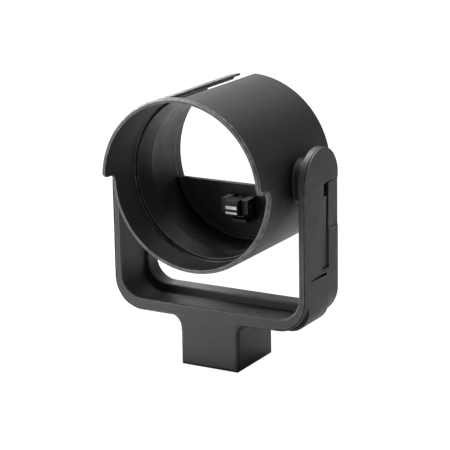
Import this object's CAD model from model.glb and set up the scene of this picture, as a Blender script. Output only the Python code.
# Single prism holder: looks, coil springs and studio, built on the CAD frame.
# Metres, +Z up, with the floor just under z = 0. In light names, front is -Y and left is -X.
import math

import bpy
import bmesh
from mathutils import Matrix, Vector

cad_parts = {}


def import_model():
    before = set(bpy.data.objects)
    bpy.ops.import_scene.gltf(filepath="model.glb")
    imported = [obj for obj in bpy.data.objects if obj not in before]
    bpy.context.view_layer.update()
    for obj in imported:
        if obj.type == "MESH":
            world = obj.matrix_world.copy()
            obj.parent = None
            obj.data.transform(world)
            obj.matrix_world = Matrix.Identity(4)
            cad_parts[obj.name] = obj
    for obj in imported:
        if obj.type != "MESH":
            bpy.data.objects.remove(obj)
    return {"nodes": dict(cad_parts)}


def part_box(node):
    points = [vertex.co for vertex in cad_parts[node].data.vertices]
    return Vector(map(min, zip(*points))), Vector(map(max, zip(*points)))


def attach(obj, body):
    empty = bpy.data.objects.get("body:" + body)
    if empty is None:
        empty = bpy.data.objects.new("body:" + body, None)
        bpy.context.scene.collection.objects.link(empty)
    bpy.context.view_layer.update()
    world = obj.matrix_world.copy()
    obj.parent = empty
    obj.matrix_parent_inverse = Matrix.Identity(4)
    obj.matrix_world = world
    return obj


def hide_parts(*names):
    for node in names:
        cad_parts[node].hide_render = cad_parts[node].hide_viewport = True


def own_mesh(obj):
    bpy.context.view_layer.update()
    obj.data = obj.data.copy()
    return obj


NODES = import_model()["nodes"]
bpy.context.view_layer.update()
scene = bpy.context.scene
MM = 0.001
WHITE = (1, 1, 1, 1)


# ---------------------------------------------------------------- node helpers
def fill(tree, node, inputs):
    """Link or set node inputs, keyed by name or index; None leaves an input as it is."""
    for key, value in inputs.items():
        if isinstance(value, bpy.types.NodeSocket):
            tree.links.new(value, node.inputs[key])
        elif value is not None:
            node.inputs[key].default_value = value


def add_node(tree, kind, inputs=None, **settings):
    node = tree.nodes.new(kind)
    for setting, value in settings.items():
        setattr(node, setting, value)
    fill(tree, node, inputs or {})
    return node


def rgba(colour):
    return (*colour, 1) if isinstance(colour, tuple) else colour


def scaled(colour, factor):
    return tuple(min(1.0, channel * factor) for channel in colour)


class Material:
    """A Principled material; each method adds nodes and returns their output socket."""

    def __init__(self, name):
        self.mat = bpy.data.materials.new(name)
        self.mat.use_nodes = True
        self.tree = self.mat.node_tree
        self.tree.nodes.clear()
        self.out = self.node("ShaderNodeOutputMaterial")
        self.bsdf = self.node("ShaderNodeBsdfPrincipled")
        fill(self.tree, self.out, {0: self.bsdf.outputs[0]})
        self.coord = self.node("ShaderNodeTexCoord").outputs["Object"]

    def node(self, kind, inputs=None, **settings):
        return add_node(self.tree, kind, inputs, **settings)

    def surface(self, inputs):
        fill(self.tree, self.bsdf, inputs)

    def stretched(self, scale):
        """Object coordinates scaled along each axis."""
        return self.node("ShaderNodeMapping", {0: self.coord, "Scale": scale}).outputs[0]

    def noise(self, scale, detail=2.0, rough=0.5, coord=None, distortion=0.0):
        return self.node("ShaderNodeTexNoise", {
            "Vector": coord or self.coord, "Scale": scale, "Detail": detail,
            "Roughness": rough, "Distortion": distortion}).outputs["Fac"]

    def cells(self, scale):
        return self.node("ShaderNodeTexVoronoi", {
            "Vector": self.coord, "Scale": scale}).outputs["Distance"]

    def ramp(self, fac, start, end, low=0.0, high=1.0):
        """Grey from low to high as fac goes from start to end."""
        node = self.node("ShaderNodeValToRGB", {0: fac})
        stops = ((start, low), (end, high))
        for element, (position, grey) in zip(node.color_ramp.elements, stops):
            element.position = position
            element.color = (grey, grey, grey, 1)
        return node.outputs[0]

    def math(self, operation, a, b):
        return self.node("ShaderNodeMath", {0: a, 1: b}, operation=operation).outputs[0]

    def add(self, a, b):
        return self.math("ADD", a, b)

    def subtract(self, a, b):
        return self.math("SUBTRACT", a, b)

    def multiply(self, a, b):
        return self.math("MULTIPLY", a, b)

    def between(self, fac, low, high):
        return self.add(self.multiply(fac, high - low), low)

    def mix(self, fac, a, b):
        """Colour a where fac is 0, b where it is 1."""
        return self.node("ShaderNodeMix", {0: fac, 6: rgba(a), 7: rgba(b)},
                         data_type="RGBA").outputs[2]

    def bump(self, height, strength, distance, normal=None):
        return self.node("ShaderNodeBump", {
            "Strength": strength, "Distance": distance,
            "Height": height, "Normal": normal}).outputs[0]

    def soft_normal(self, radius, samples=6):
        """Normals that turn over small edges, so that sharp corners catch the light."""
        return self.node("ShaderNodeBevel", {"Radius": radius}, samples=samples).outputs[0]

    def crevice(self, distance, floor):
        """1 on open faces, down to floor in gaps and deep corners."""
        node = self.node("ShaderNodeAmbientOcclusion", {"Distance": distance}, samples=6)
        return self.ramp(node.outputs["AO"], start=0.30, end=0.85, low=floor)

    def edge(self, radius):
        """1 along convex and concave edges, 0 on open faces."""
        rounded = self.soft_normal(radius, samples=4)
        normal = self.node("ShaderNodeNewGeometry").outputs["Normal"]
        dot = self.node("ShaderNodeVectorMath", {0: rounded, 1: normal}, operation="DOT_PRODUCT")
        turn = self.subtract(1.0, dot.outputs["Value"])
        return self.ramp(turn, start=0.002, end=0.09)


# ---------------------------------------------------------------- materials
# Shares and strengths common to all moulded plastics
CLOUD_SHARE, FLOW_SHARE = 0.6, 0.4    # of the slow change in tone
SPECK_GAIN, SPECK_LIFT = 0.20, 2.2    # strength of pale specks, and their lift over light
PIT_GAIN, PIT_SHADE = 0.30, 0.5       # strength of dark grain pits, and their share of dark
CREVICE_SHADE = 0.15                  # colour of deep corners, as a share of dark
WORN_POLISH = 0.10                    # roughness lost on rubbed edges
CELL_SHARE, FINE_SHARE = 0.6, 0.55    # of the grain height
# Metals
METAL_EDGE_GAIN, METAL_EDGE_LIFT = 0.5, 1.25  # strength and brightness of rubbed edges


def moulded(name, dark, light, rough=(0.46, 0.62), grain=0.5, grain_mm=0.42, spec=0.5,
            wear=(0.13, 0.132, 0.136), edge_gain=0.5, edge_mm=0.55, round_mm=0.0):
    """Moulded plastic: fine grain, faint flow marks and clouding, edges rubbed lighter.

    grain is the bump strength; wear, edge_gain and edge_mm are the colour, strength
    and width of the rubbed edges; round_mm softens the shading of sharp corners.
    """
    m = Material(name)
    cloud = m.noise(scale=38.0, detail=3.0, rough=0.55)
    flow = m.noise(scale=9.0, coord=m.stretched((1, 1, 3.2)), distortion=0.6)
    cell = m.cells(scale=1.0 / (grain_mm * MM))
    fine = m.noise(scale=1.0 / (grain_mm * 0.45 * MM), rough=0.6)
    speck = m.ramp(m.noise(scale=1.0 / (0.8 * MM), detail=1.0), start=0.56, end=0.70)

    # Colour: clouded tone, then specks, grain pits, worn edges and dark crevices
    tone = m.add(m.multiply(cloud, CLOUD_SHARE), m.multiply(flow, FLOW_SHARE))
    colour = m.mix(m.ramp(tone, start=0.30, end=0.72), dark, light)
    colour = m.mix(m.multiply(speck, SPECK_GAIN), colour, scaled(light, SPECK_LIFT))
    pits = m.ramp(cell, start=0.05, end=0.55, low=1.0, high=0.0)
    colour = m.mix(m.multiply(pits, PIT_GAIN), colour, scaled(dark, PIT_SHADE))
    patches = m.noise(scale=300.0, detail=3.0, rough=0.6)
    worn = m.multiply(m.edge(edge_mm * MM), m.ramp(patches, start=0.30, end=0.70, low=0.25))
    colour = m.mix(m.multiply(worn, edge_gain), colour, wear)
    open_face = m.crevice(distance=10.0 * MM, floor=0.30)
    colour = m.mix(open_face, scaled(dark, CREVICE_SHADE), colour)

    smear = m.ramp(m.noise(scale=120.0, detail=3.0, rough=0.6), start=0.3, end=0.7)
    roughness = m.subtract(m.between(smear, *rough), m.multiply(worn, WORN_POLISH))

    # Relief: moulded grain, then a slow unevenness over it
    height = m.add(m.multiply(cell, CELL_SHARE), m.multiply(fine, FINE_SHARE))
    rounded = m.soft_normal(round_mm * MM) if round_mm > 0 else None
    relief = m.bump(height, strength=grain, distance=0.05 * MM, normal=rounded)
    relief = m.bump(m.noise(scale=70.0), strength=0.10, distance=0.06 * MM, normal=relief)
    m.surface({"Base Color": colour, "Roughness": roughness,
               "Specular IOR Level": m.multiply(open_face, spec), "Normal": relief})
    return m.mat


def metal(name, base, tarnish, rough=(0.22, 0.42)):
    """Metal with a fine surface texture, slight tarnish and brighter rubbed edges."""
    m = Material(name)
    texture = m.noise(scale=2600.0, rough=0.6, coord=m.stretched((1, 1, 1)))
    stain = m.noise(scale=190.0, detail=4.0, rough=0.6)
    colour = m.mix(m.ramp(stain, start=0.35, end=0.7), base, tarnish)
    rubbed = m.multiply(m.edge(0.25 * MM), METAL_EDGE_GAIN)
    colour = m.mix(rubbed, colour, scaled(base, METAL_EDGE_LIFT))
    m.surface({
        "Base Color": colour,
        "Metallic": 1.0,
        "Roughness": m.between(m.ramp(texture, start=0.3, end=0.7), *rough),
        "Normal": m.bump(texture, strength=0.25, distance=0.02 * MM)})
    return m.mat


# What the three outer plastics share
CASE = dict(dark=(0.034, 0.035, 0.037), light=(0.040, 0.041, 0.044),
            rough=(0.50, 0.58), grain=0.8)

PLASTICS = {
    "lock_cover": moulded("black_plastic", **CASE, edge_gain=0.8, wear=(0.19, 0.193, 0.20)),
    "barrel_shell": moulded("shell_plastic", **CASE, edge_gain=1.0,
                            wear=(0.42, 0.425, 0.44), edge_mm=0.9),
    "yoke_frame": moulded("frame_plastic", **CASE, edge_gain=0.9,
                          wear=(0.26, 0.264, 0.272), round_mm=0.32),
    "seat_liner": moulded(
        "liner_plastic", dark=(0.014, 0.0145, 0.0155), light=(0.020, 0.0205, 0.022),
        rough=(0.42, 0.55), grain=0.6, edge_gain=1.0, wear=(0.32, 0.325, 0.335), spec=0.45),
    "rear_half_plate": moulded(
        "plate_plastic", dark=(0.012, 0.0125, 0.0135), light=(0.018, 0.0185, 0.020),
        rough=(0.48, 0.64), grain=0.6, edge_gain=0.9, wear=(0.22, 0.224, 0.232),
        spec=0.4, edge_mm=0.4),
    "latch_lever": moulded(
        "latch_plastic", dark=(0.007, 0.007, 0.008), light=(0.011, 0.011, 0.012),
        rough=(0.46, 0.58), grain=0.3, edge_gain=0.15, wear=(0.05, 0.05, 0.052), spec=0.35),
    "lock_button": moulded(
        "button_plastic", dark=(0.040, 0.041, 0.045), light=(0.058, 0.059, 0.064),
        rough=(0.38, 0.52), grain=0.35),
}
steel = metal("steel", base=(0.62, 0.63, 0.65), tarnish=(0.46, 0.46, 0.47))
bright_steel = metal("bright_steel", base=(0.42, 0.43, 0.44), tarnish=(0.32, 0.33, 0.345),
                     rough=(0.36, 0.50))
brass = metal("brass", base=(0.72, 0.52, 0.22), tarnish=(0.50, 0.34, 0.13))
bearing = moulded("bearing_plastic", dark=(0.52, 0.48, 0.40), light=(0.66, 0.62, 0.54),
                  rough=(0.40, 0.55), grain=0.25, wear=(0.75, 0.72, 0.65))
fibre = moulded("friction_fibre", dark=(0.10, 0.065, 0.040), light=(0.17, 0.115, 0.075),
                rough=(0.75, 0.92), grain=0.8, grain_mm=0.25, wear=(0.26, 0.19, 0.13))


def material_for(name):
    if name in PLASTICS:
        return PLASTICS[name]
    if "tooth" in name:
        return bright_steel
    if name == "stub_socket_sleeve":
        return brass
    if "bush" in name:
        return bearing
    if name.startswith("friction_washer"):
        return fibre
    return steel


# ---------------------------------------------------------------- CAD pieces
SHARP_ANGLE = math.radians(32.0)  # edges that turn more than this are bevelled and split
WELD_GAP = 2e-6
BEVEL_MM = {
    "barrel_shell": 0.30, "seat_liner": 0.25, "rear_half_plate": 0.22,
    "latch_lever": 0.22, "lock_button": 0.18, "lock_cover": 0.15,
}


def dress(piece, material, bevel_mm):
    """Give a CAD piece its material, smooth faces and, if bevel_mm is set, eased edges."""
    piece.data.materials.clear()
    piece.data.materials.append(material)
    for polygon in piece.data.polygons:
        polygon.use_smooth = True
    weld = piece.modifiers.new("weld", "WELD")
    weld.merge_threshold = WELD_GAP
    if bevel_mm:
        bevel = piece.modifiers.new("edges", "BEVEL")
        bevel.width = bevel_mm * MM
        bevel.segments = 2
        bevel.limit_method = "ANGLE"
        bevel.angle_limit = SHARP_ANGLE
        bevel.use_clamp_overlap = False
        bevel.miter_outer = "MITER_SHARP"
        bevel.harden_normals = False
        bevel.loop_slide = False
    split = piece.modifiers.new("split", "EDGE_SPLIT")
    split.split_angle = SHARP_ANGLE
    split.use_edge_sharp = False
    normals = piece.modifiers.new("normals", "WEIGHTED_NORMAL")
    normals.mode = "FACE_AREA_WITH_ANGLE"
    normals.weight = 60


for name in NODES:
    dress(NODES[name], material_for(name), BEVEL_MM.get(name))


def coil(node, body, along):
    """A coil spring that shortens with its joint, in place of the rigid CAD solid.

    along is the index of its axis; its low end stays put as it shortens by travel_mm.
    """
    low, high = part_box(node)
    axis, anchor = [0, 0, 0], [0, 0, 0]
    axis[along] = 1
    anchor[along] = low[along]

    # The copy brings the smooth faces and the steel of the dressed piece
    source = NODES[node]
    mesh = source.data.copy()
    mesh.name = node + "_coil"
    bm = bmesh.new()
    bm.from_mesh(mesh)
    bmesh.ops.remove_doubles(bm, verts=bm.verts, dist=WELD_GAP)
    bm.to_mesh(mesh)
    bm.free()
    spring = bpy.data.objects.new(node + "_coil", mesh)
    scene.collection.objects.link(spring)
    bpy.context.view_layer.update()
    spring.matrix_world = source.matrix_world.copy()
    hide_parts(node)
    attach(spring, body)
    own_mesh(spring)


coil("lock_spring", body="yoke", along=1)
coil("latch_spring", body="barrel", along=2)


# ---------------------------------------------------------------- floor
FLOOR_RADIUS = 9.0
FLOOR_Z = -0.2 * MM
FLOOR_GLOW = 0.89  # share of plain white that the camera sees in the floor


def floor_paper():
    m = Material("floor_paper")
    paper = m.mix(m.noise(scale=6.0), (0.66, 0.66, 0.665), (0.70, 0.70, 0.705))
    m.surface({"Base Color": paper, "Roughness": 0.30, "Specular IOR Level": 0.4})
    glow = m.node("ShaderNodeEmission", {0: WHITE, 1: 1.0})
    camera_ray = m.node("ShaderNodeLightPath").outputs["Is Camera Ray"]
    mixed = m.node("ShaderNodeMixShader", {
        0: m.multiply(camera_ray, FLOOR_GLOW), 1: m.bsdf.outputs[0], 2: glow.outputs[0]})
    fill(m.tree, m.out, {0: mixed.outputs[0]})
    return m.mat


def build_floor():
    mesh = bpy.data.meshes.new("floor")
    bm = bmesh.new()
    bmesh.ops.create_circle(bm, cap_ends=True, radius=FLOOR_RADIUS, segments=96)
    bm.to_mesh(mesh)
    bm.free()
    floor = bpy.data.objects.new("floor", mesh)
    floor.location = (0, 0, FLOOR_Z)
    scene.collection.objects.link(floor)
    mesh.materials.append(floor_paper())


build_floor()

# ---------------------------------------------------------------- lights
LIGHT_TARGET = Vector((0, 0, 0.06))
# name, location, (width, height), watts
SOFTBOXES = [
    ("back_left", (-1.1, 0.7, 0.30), (0.7, 0.6), 24.0),
    ("front_left", (-0.8, -1.0, 0.35), (0.6, 0.6), 12.0),
    ("front", (0.0, -1.3, 0.45), (0.7, 0.5), 1.4),
    ("top", (0.0, 0.0, 1.1), (0.5, 0.5), 3.0),
    ("top_left", (-0.65, 0.3, 0.95), (0.5, 0.5), 17.0),
    ("top_back", (0.0, 0.6, 0.9), (0.8, 0.5), 2.6),
    ("back", (0.0, 1.2, 0.25), (1.6, 0.5), 1.0),
    ("right", (1.3, -0.1, 0.5), (0.6, 0.6), 0.25),
]
for name, location, size, watts in SOFTBOXES:
    light = bpy.data.lights.new(name, "AREA")
    light.shape = "RECTANGLE"
    light.size, light.size_y = size
    light.energy = watts
    softbox = bpy.data.objects.new(name, light)
    softbox.location = location
    softbox.rotation_mode = "QUATERNION"
    aim = LIGHT_TARGET - Vector(location)
    softbox.rotation_quaternion = aim.to_track_quat("-Z", "Y")
    scene.collection.objects.link(softbox)


# ---------------------------------------------------------------- world
def build_world():
    """Plain white to the camera, a dim fill light to everything else."""
    world = bpy.data.worlds.new("studio")
    scene.world = world
    world.use_nodes = True
    tree = world.node_tree
    tree.nodes.clear()
    camera_ray = add_node(tree, "ShaderNodeLightPath").outputs["Is Camera Ray"]
    seen = add_node(tree, "ShaderNodeBackground", {0: WHITE, 1: 1.0})
    ambient = add_node(tree, "ShaderNodeBackground", {0: (0.98, 0.99, 1.0, 1), 1: 0.082})
    mixed = add_node(tree, "ShaderNodeMixShader", {
        0: camera_ray, 1: ambient.outputs[0], 2: seen.outputs[0]})
    add_node(tree, "ShaderNodeOutputWorld", {0: mixed.outputs[0]})


build_world()

view = scene.view_settings
view.view_transform = "Standard"
view.look = "None"
view.exposure = 0.22
view.gamma = 0.90

# ---------------------------------------------------------------- camera
CAMERA_PLACE = (0.39614, -0.68157, 0.27550)
# The camera's own axes in world space; it looks against the third
CAMERA_RIGHT = (0.86862108, 0.49517981, -0.01715767)
CAMERA_UP = (-0.11445743, 0.23422705, 0.96542073)
CAMERA_BACK = (0.48207564, -0.83662097, 0.26013156)

lens = bpy.data.cameras.new("camera")
camera = bpy.data.objects.new("camera", lens)
scene.collection.objects.link(camera)
lens.sensor_width = 36.0
lens.lens = 150.64
lens.clip_start, lens.clip_end = 0.05, 50.0
turn = Matrix((CAMERA_RIGHT, CAMERA_UP, CAMERA_BACK)).transposed()
camera.matrix_world = Matrix.Translation(CAMERA_PLACE) @ turn.to_4x4()
scene.camera = camera

# ---------------------------------------------------------------- close
bpy.context.view_layer.update()
